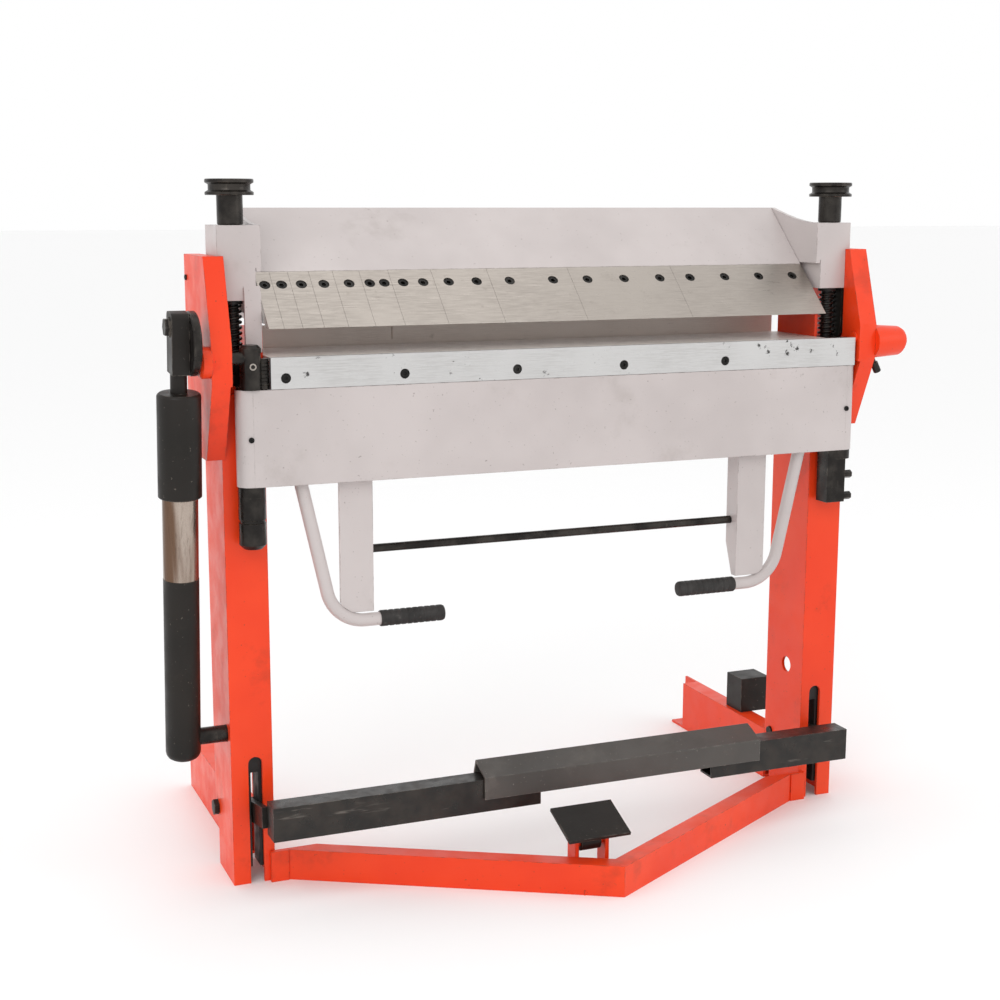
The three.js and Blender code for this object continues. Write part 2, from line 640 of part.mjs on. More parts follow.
/** An angle that braces the apron against the handle: a front plate, and a web on its inner side. */
function arm(handleSpace) {
  const { inner, outer, front, rear, bottom } = ARM;
  const outline = [[front, bottom], [rear - 22, bottom], [rear, bottom + 58], [rear, APRON.bottom - GAP],
    [front, APRON.bottom - GAP]];
  const wall = 5;
  return cut(
    join(
      prismX(outline, inner, inner + wall),
      block(inner, outer, front, front + wall, bottom, APRON.bottom - GAP),
    ),
    handleSpace,
  );
}

const crossRod = () => rodX(-ARM.inner + GAP, ARM.inner - GAP, 33, ROD_Z, 7, 16);

// ---------------------------------------------------------------- balance cylinder
const crankPoint = new THREE.Vector3(BALANCE.x, 0, BED_TOP + BALANCE.crankRadius);
const lowerPivot = new THREE.Vector3(BALANCE.x, BALANCE.pivotY, BALANCE.pivotZ);
const cylinderAxis = crankPoint.clone().sub(lowerPivot).normalize();
const cylinderLength = crankPoint.distanceTo(lowerPivot);

/** A turned piece on the cylinder's axis; heights count from the lower pivot. */
function onCylinder(profile, sides = 28) {
  return turned(profile, lowerPivot.toArray(), cylinderAxis, sides);
}

const BODY_TOP = 276;
const TUBE_TOP = 452;
const SLEEVE = { foot: 410, top: 576 };
const PISTON = 150;

function balanceBody() {
  const r = BALANCE.bodyRadius;
  const pin = rodX(BALANCE.x - 2, BALANCE.x + 60, BALANCE.pivotY, BALANCE.pivotZ, 14 + GAP);
  const profile = [[0, -35], [r - 8, -35], [r, -27], [r, BODY_TOP], [21, BODY_TOP], [21, 30], [0, 30]];
  return onCylinder(profile).subtract(pin);
}

/** The steel tube, with a cap at its top that the spring pushes against. */
function balanceTube() {
  const cap = TUBE_TOP - 8;
  return onCylinder([[23, BODY_TOP + GAP], [28, BODY_TOP + GAP], [28, TUBE_TOP], [8, TUBE_TOP], [8, cap],
    [23, cap]]);
}

/** The sleeve, its neck and the rod end that meets the crank disc. */
function balanceSleeve() {
  const r = BALANCE.sleeveRadius;
  const profile = [
    [28.6, SLEEVE.foot], [r - 3, SLEEVE.foot], [r, SLEEVE.foot + 3], [r, SLEEVE.top - 4], [r - 4, SLEEVE.top],
    [13, SLEEVE.top], [13, 612], [0, 612], [0, SLEEVE.top - 6], [28.6, SLEEVE.top - 6],
  ];
  const { halfWidth, halfDepth, above, below } = ROD_END;
  const rodEnd = new THREE.BoxGeometry(2 * halfWidth, 2 * halfDepth, above + below)
    .translate(0, 0, cylinderLength + (above - below) / 2);
  const aim = new THREE.Quaternion().setFromUnitVectors(AXIS_Z, cylinderAxis);
  rodEnd.applyQuaternion(aim).translate(...lowerPivot.toArray());
  return join(onCylinder(profile), solid(rodEnd), crankBolt());
}

/** The pull rod inside the cylinder, with a piston at its foot. */
function balanceRod() {
  const top = SLEEVE.top - 6 - GAP;
  return onCylinder([[0, PISTON], [19, PISTON], [19, PISTON + 8], [7, PISTON + 8], [7, top], [0, top]], 16);
}

/** The spring between the piston and the tube's cap; it pulls the rod end down. */
function balanceSpring() {
  const foot = PISTON + 9;
  const start = lowerPivot.clone().addScaledVector(cylinderAxis, foot);
  return coil(start.toArray(), cylinderAxis, TUBE_TOP - 9 - foot, 14, 3, 10, 7);
}

/** The head of the bolt that joins the rod end to the crank disc. */
function crankBolt() {
  const face = BALANCE.x - ROD_END.halfWidth;
  const washer = rodX(face - 2, face + 1, crankPoint.y, crankPoint.z, 16);
  return washer.add(rodX(face - 8, face, crankPoint.y, crankPoint.z, 14.5, 6));
}

function liftSpring() {
  const foot = 878.6;
  const length = BLOCK.bottom - 2 * GAP - COLLAR.height - foot;
  return coil([ADJUSTER.x, ADJUSTER.y, foot], AXIS_Z, length, 14, 2.3, 9, 7);
}

// ---------------------------------------------------------------- the machine
function group(...meshes) {
  return new THREE.Group().add(...meshes.flat());
}

const stand = group(
  mesh('left_column', mirrored(column(pinHole())), ORANGE),
  mesh('right_column', column(freeHole()), ORANGE),
  mesh('left_pivot_bracket', mirrored(pivotBracket(REACH_IN.left, leftBoss(), 640)), ORANGE),
  mesh('right_pivot_bracket', pivotBracket(REACH_IN.right, rightBoss(), BOSS.end - 17), ORANGE),
  pair('rod_guide', rodGuide, BLACK),
  mesh('front_base_bar', frontBaseBar(), ORANGE),
  pair('rear_foot', rearFoot, ORANGE),
  mesh('rear_weight', rearWeight(), BLACK),
  mesh('bed_beam', bedBeam(), GREY),
  mesh('bed_plate', bedPlate(), STEEL),
  mesh('rear_rail', rearRail(), GREY),
  mesh('cylinder_pin', cylinderPin(), BLACK),
  pair('lift_spring', liftSpring, BLACK),
);

const clampingBeam = group(
  mesh('beam_shell', beamShell(), GREY),
  mesh('left_end_block', mirrored(endBlock(true)), GREY),
  mesh('right_end_block', endBlock(false), GREY),
  fingers(),
  pair('pull_rod', pullRod, BLACK),
  pair('adjuster', adjuster, BLACK),
);

const treadle = group(
  mesh('left_treadle_bar', treadleBar(TREADLE_BAR.left), BLACK),
  mesh('right_treadle_bar', treadleBar(TREADLE_BAR.right), BLACK),
  mesh('foot_plate', footPlate(), TREAD_GREY),
  pair('treadle_lever', treadleLever, BLACK),
);

const apron = group(
  mesh('apron_panel', apronPanel(), GREY),
  mesh('apron_bar', apronBar(), BAR_STEEL),
  mesh('left_pivot_post', pivotPost(POST.leftX, BED_TOP + 20, roundFoot()), BLACK),
  mesh('right_pivot_post', pivotPost(POST.rightX, BED_TOP, squareFoot(), barClearance()), BLACK),
  mesh('crank_shaft', crankShaft(), BLACK),
  mesh('right_pivot_shaft', rightShaft(), ORANGE),
  mesh('left_handle', mirrored(handle()).translate(HANDLE.shiftX, 0, 0), GREY),
  mesh('right_handle', handle().translate(HANDLE.shiftX, 0, 0), GREY),
  mesh('left_grip', mirrored(grip()).translate(HANDLE.shiftX, 0, 0), RUBBER),
  mesh('right_grip', grip().translate(HANDLE.shiftX, 0, 0), RUBBER),
  mesh('left_apron_arm', mirrored(arm(handleSpace(-HANDLE.shiftX))), GREY),
  mesh('right_apron_arm', arm(handleSpace(HANDLE.shiftX)), GREY),
  mesh('cross_rod', crossRod(), BLACK),
);

const balance = group(
  mesh('balance_body', balanceBody(), BLACK),
  mesh('balance_tube', balanceTube(), TUBE_STEEL),
  mesh('balance_sleeve', balanceSleeve(), BLACK),
  mesh('balance_rod', balanceRod(), BLACK),
  mesh('balance_spring', balanceSpring(), BLACK),
);

const brake = group(stand, clampingBeam, treadle, mesh('pedal', pedal(), BLACK), apron, balance);
brake.position.set(-ORIGIN_X, -ORIGIN_Y, 0);

export default brake;
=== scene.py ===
"""Foot-operated box and pan brake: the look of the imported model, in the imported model's own frame."""

import json
import math

import bmesh
import bpy
from mathutils import Matrix, Vector


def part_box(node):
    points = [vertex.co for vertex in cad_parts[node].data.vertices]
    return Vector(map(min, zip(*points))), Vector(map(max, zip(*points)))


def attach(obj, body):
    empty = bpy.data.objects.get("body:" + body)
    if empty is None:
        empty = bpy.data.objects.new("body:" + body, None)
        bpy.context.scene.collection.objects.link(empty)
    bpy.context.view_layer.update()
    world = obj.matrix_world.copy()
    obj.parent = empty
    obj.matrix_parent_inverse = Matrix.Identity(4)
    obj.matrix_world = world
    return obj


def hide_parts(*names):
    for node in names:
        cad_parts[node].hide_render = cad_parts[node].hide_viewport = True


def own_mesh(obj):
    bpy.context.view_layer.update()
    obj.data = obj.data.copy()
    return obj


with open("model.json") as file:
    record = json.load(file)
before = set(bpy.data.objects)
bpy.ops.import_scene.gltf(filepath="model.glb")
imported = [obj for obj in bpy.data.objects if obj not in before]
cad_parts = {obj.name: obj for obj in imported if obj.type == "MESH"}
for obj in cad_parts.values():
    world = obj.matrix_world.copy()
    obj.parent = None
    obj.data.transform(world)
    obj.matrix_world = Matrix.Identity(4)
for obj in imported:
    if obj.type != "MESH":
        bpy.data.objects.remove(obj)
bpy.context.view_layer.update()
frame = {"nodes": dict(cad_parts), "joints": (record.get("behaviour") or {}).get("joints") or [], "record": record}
NODES = frame["nodes"]
JOINTS = {joint["name"]: joint for joint in frame["joints"]}
MM = 0.001


# ---------------------------------------------------------------- places, from the frame
def corners(node):
    """The lowest and highest corner of a CAD node, as vectors."""
    low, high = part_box(node)
    return Vector(low), Vector(high)


def middle(node):
    low, high = corners(node)
    return (low + high) / 2


MID_X = middle("front_base_bar").x
FOLD_AXIS = Vector(JOINTS["apron_fold"]["pos_m"])
CYLINDER_FOOT = Vector(JOINTS["balance_swing"]["pos_m"])
CYLINDER_UP = -Vector(JOINTS["balance_slide"]["axis"]).normalized()
CRANK_RADIUS = 51
SLOPE = math.radians(43.4)
ALONG = Vector((0, math.cos(SLOPE), math.sin(SLOPE)))
OUT = Vector((0, -math.sin(SLOPE), math.cos(SLOPE)))


def at(x, y, z):
    """A point given in mm from the mid-plane, the bend line and the floor."""
    return Vector((MID_X + x * MM, FOLD_AXIS.y + y * MM, z * MM))


# ---------------------------------------------------------------- mesh helpers
def as_object(name, mesh):
    piece = bpy.data.objects.new(name, mesh)
    bpy.context.scene.collection.objects.link(piece)
    return piece


def from_bmesh(name, bm, angle=35):
    """A smooth object whose sharp edges are split by angle."""
    bmesh.ops.recalc_face_normals(bm, faces=bm.faces)
    for face in bm.faces:
        face.smooth = True
    for edge in bm.edges:
        edge.smooth = not edge.is_manifold or edge.calc_face_angle(0) < math.radians(angle)
    mesh = bpy.data.meshes.new(name)
    bm.to_mesh(mesh)
    bm.free()
    return as_object(name, mesh)


def aim(direction, origin):
    """Turns +Z to a direction and moves the origin to a point."""
    turn = Vector(direction).to_track_quat("Z", "Y").to_matrix().to_4x4()
    return Matrix.Translation(origin) @ turn


def spin(bm, profile, direction, origin, sides):
    """Adds a turned solid. The profile's (radius, height) points are in mm; a ring's profile is closed."""
    place = aim(direction, origin)
    ring = profile[0][0] > 0
    rows = []
    for radius, height in profile:
        if radius == 0:
            rows.append([bm.verts.new(place @ Vector((0, 0, height * MM)))])
            continue
        angles = (2 * math.pi * i / sides for i in range(sides))
        rows.append([
            bm.verts.new(place @ Vector((radius * MM * math.cos(a), radius * MM * math.sin(a), height * MM)))
            for a in angles
        ])
    pairs = list(zip(rows, rows[1:]))
    if ring:
        pairs.append((rows[-1], rows[0]))
    for low, high in pairs:
        for i in range(sides):
            j = (i + 1) % sides
            corner = [low[i % len(low)], low[j % len(low)], high[j % len(high)], high[i % len(high)]]
            face = list(dict.fromkeys(corner))
            if len(face) > 2:
                bm.faces.new(face)


def turned(name, profile, direction, origin, sides=72):
    bm = bmesh.new()
    spin(bm, profile, direction, origin, sides)
    return from_bmesh(name, bm)


def swept(name, points, radius, sides):
    """A round bar along a list of points, with flat ends."""
    bm = bmesh.new()
    count = len(points)
    rings = []
    side = None
    for i, point in enumerate(points):
        ahead = points[min(i + 1, count - 1)] - points[max(i - 1, 0)]
        ahead.normalize()
        if side is None:
            side = ahead.orthogonal().normalized()
        side = (side - ahead * side.dot(ahead)).normalized()
        up = ahead.cross(side)
        angles = (2 * math.pi * k / sides for k in range(sides))
        rings.append([bm.verts.new(point + (side * math.cos(a) + up * math.sin(a)) * radius) for a in angles])
    for low, high in zip(rings, rings[1:]):
        for k in range(sides):
            n = (k + 1) % sides
            bm.faces.new((low[k], low[n], high[n], high[k]))
    bm.faces.new(list(reversed(rings[0])))
    bm.faces.new(rings[-1])
    return from_bmesh(name, bm, 50)


# ---------------------------------------------------------------- materials
class Recipe:
    """A short way to write a node material."""

    def __init__(self, name):
        self.material = bpy.data.materials.new(name)
        self.material.use_nodes = True
        self.tree = self.material.node_tree
        self.tree.nodes.clear()
        self.output = self.tree.nodes.new("ShaderNodeOutputMaterial")
        self.shader = self.tree.nodes.new("ShaderNodeBsdfPrincipled")
        self.link(self.shader.outputs[0], self.output.inputs[0])
        self.place = self.tree.nodes.new("ShaderNodeTexCoord").outputs["Object"]

    def link(self, source, target):
        self.tree.links.new(source, target)

    def node(self, kind, values=None, **settings):
        made = self.tree.nodes.new(kind)
        for key, value in settings.items():
            setattr(made, key, value)
        for key, value in (values or {}).items():
            if isinstance(value, bpy.types.NodeSocket):
                self.link(value, made.inputs[key])
            else:
                made.inputs[key].default_value = value
        return made

    def stretched(self, scale):
        return self.node("ShaderNodeMapping", {"Vector": self.place, "Scale": scale}).outputs[0]

    def noise(self, scale, detail=4, roughness=0.55, where=None):
        values = {"Vector": where or self.place, "Scale": scale, "Detail": detail, "Roughness": roughness}
        return self.node("ShaderNodeTexNoise", values).outputs["Fac"]

    def ramp(self, factor, low, high, from_value=0.0, to_value=1.0):
        """Maps the low..high part of a factor to a range."""
        values = {"Value": factor, "From Min": low, "From Max": high}
        values.update({"To Min": from_value, "To Max": to_value})
        return self.node("ShaderNodeMapRange", values, interpolation_type="SMOOTHSTEP").outputs[0]

    def mix(self, factor, first, second):
        made = self.tree.nodes.new("ShaderNodeMix")
        made.data_type = "RGBA"
        self.put(factor, made.inputs[0])
        self.put(first, made.inputs[6])
        self.put(second, made.inputs[7])
        return made.outputs[2]

    def put(self, value, socket):
        if isinstance(value, bpy.types.NodeSocket):
            self.link(value, socket)
        else:
            socket.default_value = value

    def math(self, operation, first, second):
        made = self.tree.nodes.new("ShaderNodeMath")
        made.operation = operation
        made.use_clamp = True
        self.put(first, made.inputs[0])
        self.put(second, made.inputs[1])
        return made.outputs[0]

    def worn_edges(self, radius, low=0.012, high=0.12):
        """1 on sharp edges and 0 elsewhere, broken up by noise."""
        bevel = self.node("ShaderNodeBevel", {"Radius": radius}, samples=4).outputs[0]
        normal = self.node("ShaderNodeNewGeometry").outputs["Normal"]
        product = self.node("ShaderNodeVectorMath", {0: bevel, 1: normal}, operation="DOT_PRODUCT")
        edge = self.ramp(self.math("SUBTRACT", 1.0, product.outputs["Value"]), low, high)
        return self.math("MULTIPLY", edge, self.ramp(self.noise(60, 5), 0.42, 0.62))

    def bump(self, height, distance, strength=1.0):
        values = {"Height": height, "Distance": distance, "Strength": strength}
        self.link(self.node("ShaderNodeBump", values).outputs[0], self.shader.inputs["Normal"])

    def done(self, color, roughness, metallic=0.0, coat=0.0, specular=0.5):
        self.put(color, self.shader.inputs["Base Color"])
        self.put(roughness, self.shader.inputs["Roughness"])
        self.put(metallic, self.shader.inputs["Metallic"])
        self.shader.inputs["Specular IOR Level"].default_value = specular
        self.shader.inputs["Coat Weight"].default_value = coat
        self.shader.inputs["Coat Roughness"].default_value = 0.15
        return self.material


def srgb(red, green, blue):
    """A colour given as it looks on the screen, 0 to 255, as the shader wants it."""
    return (*[((c / 255 + 0.055) / 1.055) ** 2.4 for c in (red, green, blue)], 1)


def enamel(name, light, dark, grime, chip, grime_amount, coat=0.25, roughness=0.36, specular=0.5):
    """Sprayed paint: faint blotches, an orange-peel skin, smudges, and chipped edges."""
    r = Recipe(name)
    base = r.mix(r.ramp(r.noise(5, 3), 0.3, 0.7), dark, light)
    smudge = r.math("MULTIPLY", r.ramp(r.noise(9, 6, 0.65), 0.56, 0.74), grime_amount)
    soiled = r.mix(smudge, base, grime)
    fleck = r.ramp(r.noise(210, 2), 0.71, 0.74, 0.0, 0.55)
    flecked = r.mix(fleck, soiled, chip)
    color = r.mix(r.worn_edges(0.0022), flecked, chip)
    rough = r.ramp(r.noise(24, 5), 0.3, 0.7, roughness - 0.06, roughness + 0.12)
    r.bump(r.noise(420, 2), 0.00035, 0.25)
    return r.done(color, rough, coat=coat, specular=specular)


def ground_steel(name, light, dark, stain, stain_range, amount=0.35, metallic=0.85):
    """Ground plate: fine lines along X, broad clouding and dark stains."""
    r = Recipe(name)
    lines = r.noise(60, 3, 0.7, r.stretched((0.5, 9, 9)))
    clouds = r.ramp(r.noise(7, 4), 0.3, 0.7)
    base = r.mix(r.ramp(lines, 0.35, 0.65, 0.0, 0.7), light, r.mix(clouds, light, dark))
    spots = r.math("MULTIPLY", r.ramp(r.noise(34, 6, 0.7), *stain_range), amount)
    color = r.mix(spots, base, stain)
    rough = r.ramp(lines, 0.3, 0.7, 0.27, 0.46)
    r.bump(lines, 0.00004, 0.5)
    return r.done(color, rough, metallic)


def blackened(name, light, dark, bare, metallic, roughness, grain=(1, 1, 0.12)):
    """Oiled black steel: uneven black, bare metal showing on the edges."""
    r = Recipe(name)
    base = r.mix(r.ramp(r.noise(30, 5), 0.35, 0.7), dark, light)
    scratches = r.ramp(r.noise(50, 4, 0.7, r.stretched(grain)), 0.64, 0.74, 0.0, 0.35)
    scratched = r.mix(scratches, base, bare)
    color = r.mix(r.worn_edges(0.0012, 0.02, 0.2), scratched, bare)
    rough = r.ramp(r.noise(40, 4), 0.3, 0.7, roughness - 0.1, roughness + 0.14)
    r.bump(r.noise(260, 3), 0.00015, 0.3)
    return r.done(color, rough, metallic)


def rubber(name):
    """Moulded rubber: matt, slightly dusty, with a fine pebble."""
    r = Recipe(name)
    base = r.mix(r.ramp(r.noise(22, 4), 0.3, 0.7), srgb(30, 28, 27), srgb(48, 45, 43))
    color = r.mix(r.ramp(r.noise(90, 4), 0.6, 0.75, 0.0, 0.4), base, srgb(92, 88, 84))
    pebble = r.node("ShaderNodeTexVoronoi", {"Vector": r.place, "Scale": 620}).outputs["Distance"]
    r.bump(pebble, 0.0002, 0.5)
    return r.done(color, r.ramp(r.noise(60, 3), 0.3, 0.7, 0.6, 0.8))


def polished_tube(name):
    """A worn steel tube: brown and bright bands along it, which are painted reflections, with fine scratches."""
    r = Recipe(name)
    # Painted reflection: brown and bright streaks along the tube stand in for the surroundings it reflects.
    painted_reflection_bands = r.noise(38, 2, 0.5, r.stretched((1, 1, 0.03)))
    scratches = r.noise(300, 3, 0.7, r.stretched((1, 1, 0.05)))
    base = r.mix(r.ramp(painted_reflection_bands, 0.4, 0.62), srgb(108, 84, 68), srgb(174, 160, 149))
    color = r.mix(r.ramp(scratches, 0.5, 0.7, 0.0, 0.4), base, srgb(80, 62, 52))
    return r.done(color, r.ramp(scratches, 0.3, 0.7, 0.2, 0.36), metallic=0.9)


MATERIALS = {
    "orange_paint": enamel(
        "orange_enamel", light=srgb(240, 68, 24), dark=srgb(231, 58, 17), grime=srgb(150, 44, 20),
        chip=srgb(112, 58, 40), grime_amount=0.35, coat=0.1, specular=0.3),
    "grey_paint": enamel(
        "grey_enamel", light=srgb(195, 186, 184), dark=srgb(184, 175, 173), grime=srgb(150, 140, 134),
        chip=srgb(120, 110, 104), grime_amount=0.3),
    "black_paint": enamel(
        "black_enamel", light=srgb(36, 31, 27), dark=srgb(25, 22, 19), grime=srgb(60, 54, 48),
        chip=srgb(108, 100, 92), grime_amount=0.45, coat=0.0, roughness=0.4, specular=0.25),
    # Painted light: the tread's paint is a lighter copy of the treadle's black and stands in for the light on its
    # upward-tilted face.
    "tread_paint": enamel(
        "tread_enamel_painted_light", light=srgb(76, 72, 68), dark=srgb(62, 59, 56), grime=srgb(104, 98, 92),
        chip=srgb(140, 134, 126), grime_amount=0.4, coat=0.0, roughness=0.5),
    "ground_steel": ground_steel(
        "ground_plate", light=srgb(178, 170, 162), dark=srgb(156, 148, 141), stain=srgb(104, 94, 84),
        stain_range=(0.6, 0.76)),
    "tube_steel": polished_tube("polished_tube"),
    "black_steel": blackened(
        "black_oxide", light=srgb(60, 56, 52), dark=srgb(32, 29, 27), bare=srgb(128, 118, 106),
        metallic=0.7, roughness=0.3),
    "grip_rubber": rubber("grip_rubber"),
}
BAR_STEEL = ground_steel(
    "bar_steel", light=srgb(206, 205, 204), dark=srgb(180, 178, 176), stain=srgb(36, 32, 30),
    stain_range=(0.63, 0.67), amount=0.9)
# Painted light: a lighter copy of the ground-steel colour. The bed plate and rear rail lie in the beam's shade but
# look as bright as lit steel.
PAINTED_LIGHT_BED_STEEL = ground_steel(
    "bed_steel_painted_light", light=srgb(226, 216, 208), dark=srgb(204, 194, 186), stain=srgb(120, 110, 100),
    stain_range=(0.6, 0.76), metallic=0.15)
SCREW_BLACK = blackened(
    "screw_black", light=srgb(40, 38, 36), dark=srgb(20, 19, 18), bare=srgb(88, 84, 80),
    metallic=0.6, roughness=0.34)
ROD_BLACK = blackened(
    "rod_black", light=srgb(34, 31, 29), dark=srgb(22, 20, 19), bare=srgb(60, 56, 52),
    metallic=0.1, roughness=0.5)
WORN_BLACK = blackened(
    "worn_black", light=srgb(46, 40, 35), dark=srgb(28, 25, 22), bare=srgb(150, 142, 134),
    metallic=0.25, roughness=0.36, grain=(0.12, 1, 1))
SPECIAL = {
    "apron_bar": BAR_STEEL,
    # The bed plate and rear rail take the steel with painted light.
    "bed_plate": PAINTED_LIGHT_BED_STEEL,
    "rear_rail": PAINTED_LIGHT_BED_STEEL,
    "left_pull_rod": ROD_BLACK,
    "right_pull_rod": ROD_BLACK,
    "left_treadle_bar": WORN_BLACK,
    "right_treadle_bar": WORN_BLACK,
}


# ---------------------------------------------------------------- pieces
def own(piece, body, slot, material=None, replaces=()):
    """Finishes a new piece: its material, the body it rides on, and what it stands for."""
    piece.data.materials.clear()
    piece.data.materials.append(material or MATERIALS[slot])
    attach(piece, body)
    if replaces:
        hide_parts(*replaces)
    return piece


def dress_cad_nodes():
    """Gives every CAD node its slot's material, smooth round faces and slightly broken edges."""
    for subpart in frame["record"]["subparts"]:
        node = NODES[subpart["node"]]
        material = SPECIAL.get(subpart["node"], MATERIALS[subpart["material_slot"]])
        node.data.materials.clear()
        node.data.materials.append(material)
        node.data.shade_smooth()
        weld = node.modifiers.new("weld", "WELD")
        weld.merge_threshold = 0.00002
        edges = node.modifiers.new("edges", "BEVEL")
        edges.width = 0.00025 if subpart["node"].startswith("finger") else 0.0007
        edges.segments = 2
        edges.limit_method = "ANGLE"
        edges.angle_limit = math.radians(38)
        normals = node.modifiers.new("normals", "WEIGHTED_NORMAL")
        normals.keep_sharp = True


def knob(side):
    """The grooved adjuster with its hollow shaft; heights are measured from the shaft's lower end."""
    node = f"{side}_adjuster"
    low, high = corners(node)
    centre = middle(node)
    rise = (high.z - low.z) / MM
    rim = (high.x - low.x) / MM / 2
    foot = rise - 25
    shaft = 20.5
    groove = rim - 5
    profile = [
        (10.5, 0), (11.4, 0), (12, 0.6), (12, 72.3), (shaft - 1.6, 72.3), (shaft, 74), (shaft, foot - 0.6),
        (shaft + 0.6, foot), (rim - 0.8, foot), (rim, foot + 0.8), (rim, foot + 4.4), (rim - 0.6, foot + 5),
        (groove + 0.5, foot + 7.4), (groove, foot + 8.2), (groove, foot + 16), (groove + 0.5, foot + 16.8),
        (rim - 0.6, foot + 19), (rim, foot + 19.6), (rim, rise - 1.4), (rim - 1.4, rise), (9, rise),
        (8, rise - 1), (8, rise - 4), (0, rise - 4), (0, 48), (10.5, 48),
    ]
    piece = turned(f"{side}_knob", profile, (0, 0, 1), (centre.x, centre.y, low.z), 96)
    own(piece, f"{side}_knob", "black_steel", replaces=[node])


def lift_spring(side):
    """The coil spring round the pull rod, built at its rest length."""
    node = f"{side}_lift_spring"
    low, high = corners(node)
    centre = middle(node)
    wire = 2.3 * MM
    coil = (high.x - low.x) / 2 - wire
    turns, steps_a_turn = 9, 28
    steps = turns * steps_a_turn
    points = []
    for i in range(steps + 1):
        angle = 2 * math.pi * turns * i / steps
        height = low.z + wire + (high.z - low.z - 2 * wire) * i / steps
        points.append(Vector((centre.x + coil * math.cos(angle), centre.y + coil * math.sin(angle), height)))
    piece = own(swept(f"{side}_spring", points, wire, 10), "frame", "black_steel", replaces=[node])
    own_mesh(piece)


def balance_cylinder():
    """The black lower body, the steel tube and the black sleeve with its rod end."""
    body = [(0, -35), (14, -35), (20, -33.5), (24.6, -30.5), (27.4, -26), (28.4, -21), (28.4, 275.4),
            (27.8, 276), (21, 276), (21, 30), (0, 30)]
    own(turned("cylinder_body", body, CYLINDER_UP, CYLINDER_FOOT, 96), "balance_lower", "black_paint",
        replaces=["balance_body"])
    tube = [(23, 276.4), (28, 276.4), (28, 451.4), (27.4, 452), (8.2, 452), (8.2, 444), (23, 444)]
    own(turned("cylinder_tube", tube, CYLINDER_UP, CYLINDER_FOOT, 96), "balance_lower", "tube_steel",
        replaces=["balance_tube"])
    sleeve = [(28.6, 410), (33.2, 410), (34.2, 411), (34.2, 571), (33.4, 573.5), (30.7, 576), (13, 576),
              (13, 612), (0, 612), (0, 570), (28.6, 570)]
    bm = bmesh.new()
    spin(bm, sleeve, CYLINDER_UP, CYLINDER_FOOT, 96)
    rod_end(bm)
    own(from_bmesh("cylinder_sleeve", bm), "balance_upper", "black_paint", replaces=["balance_sleeve"])


def rod_end(bm):
    """Adds a block with rounded top corners, and the washer and bolt head on its outer face."""
    half_width, half_depth, above, below, corner = 13.5, 20, 23, 72, 9
    left = CYLINDER_FOOT.x - half_width * MM
    right = CYLINDER_FOOT.x + half_width * MM
    eye = FOLD_AXIS + Vector((0, 0, CRANK_RADIUS * MM))
    side = Vector((1, 0, 0)).cross(CYLINDER_UP)
    points = [(-half_depth, -below), (half_depth, -below)]
    for start, sign in ((0, 1), (math.pi / 2, -1)):
        for i in range(9):
            a = start + i * math.pi / 16
            u = sign * (half_depth - corner) + corner * math.cos(a)
            points.append((u, above - corner + corner * math.sin(a)))
    outline = [eye + side * u * MM + CYLINDER_UP * v * MM for u, v in points]
    near = [bm.verts.new((left, p.y, p.z)) for p in outline]
    far = [bm.verts.new((right, p.y, p.z)) for p in outline]
    bm.faces.new(near)
    bm.faces.new(list(reversed(far)))
    for i in range(len(outline)):
        j = (i + 1) % len(outline)
        bm.faces.new((near[i], far[i], far[j], near[j]))
    bolt = (left, eye.y, eye.z)
    spin(bm, [(0, -0.5), (15.4, -0.5), (16, 0), (16, 1.5), (15.4, 2), (0, 2)], (-1, 0, 0), bolt, 48)
    spin(bm, [(0, 1.5), (14.5, 1.5), (14.5, 7), (13.4, 8), (0, 8)], (-1, 0, 0), bolt, 6)


def crank():
    """The left pivot shaft with its chamfered disc."""
    low, high = corners("crank_shaft")
    radius, thick = 50, 12.7
    centre = (low.x, FOLD_AXIS.y, high.z - radius * MM)
    bm = bmesh.new()
    disc = [(0, 0), (radius - 2, 0), (radius, 2), (radius, thick - 2), (radius - 2, thick), (24, thick),
            (23, thick - 1), (0, thick - 1)]
    spin(bm, disc, (1, 0, 0), centre, 96)
    length = (high.x - low.x) / MM
    shaft = [(0, 5), (10, 5), (10, length - 0.8), (9.2, length), (0, length)]
    spin(bm, shaft, (1, 0, 0), (low.x, FOLD_AXIS.y, FOLD_AXIS.z), 48)
    own(from_bmesh("crank_disc", bm), "apron", "black_steel", replaces=["crank_shaft"])


def handle_points(side):
    """A handle's centre line: down, round the bend and inwards; both handles sit 4 mm right of the middle."""
    lean = math.radians(12.5)
    top_x, top_z, start_z = 466, 681, 676.5
    bend, low, end_x, shift = 66, 441, 226, 4
    centre_z = low + bend
    turn_x = top_x - math.tan(lean) * (top_z - (centre_z - bend * math.sin(lean)))
    centre_x = turn_x - bend * math.cos(lean)
    route = [(top_x - math.tan(lean) * (top_z - start_z), start_z)]
    steps = 24
    for i in range(steps + 1):
        angle = -lean - (math.pi / 2 - lean) * i / steps
        route.append((centre_x + bend * math.cos(angle), centre_z + bend * math.sin(angle)))
    route.append((end_x, low))
    return [at(side * x + shift, 13, z) for x, z in route]


def handle(name, side):
    """The bent grey tube and its rubber grip."""
    points = handle_points(side)
    own(swept(f"{name}_handle_tube", points, 11 * MM, 40), "apron", "grey_paint", replaces=[f"{name}_handle"])
    low, high = corners(f"{name}_grip")
    origin = (low.x if side > 0 else high.x, points[-1].y, points[-1].z)
    profile = [(0, 0), (9, 0), (12, 1.2), (13.2, 3.5), (13.5, 6)]
    for i in range(9):
        z = 12 + i * 10.5
        profile += [(13.5, z), (12.7, z + 1.2), (12.7, z + 3), (13.5, z + 4.2)]
    profile += [(13.5, 111.5), (12.6, 113), (11.3, 113), (11.3, 3), (0, 3)]
    grip = turned(f"{name}_rubber_grip", profile, (side, 0, 0), origin, 48)
    own(grip, "apron", "grip_rubber", replaces=[f"{name}_grip"])


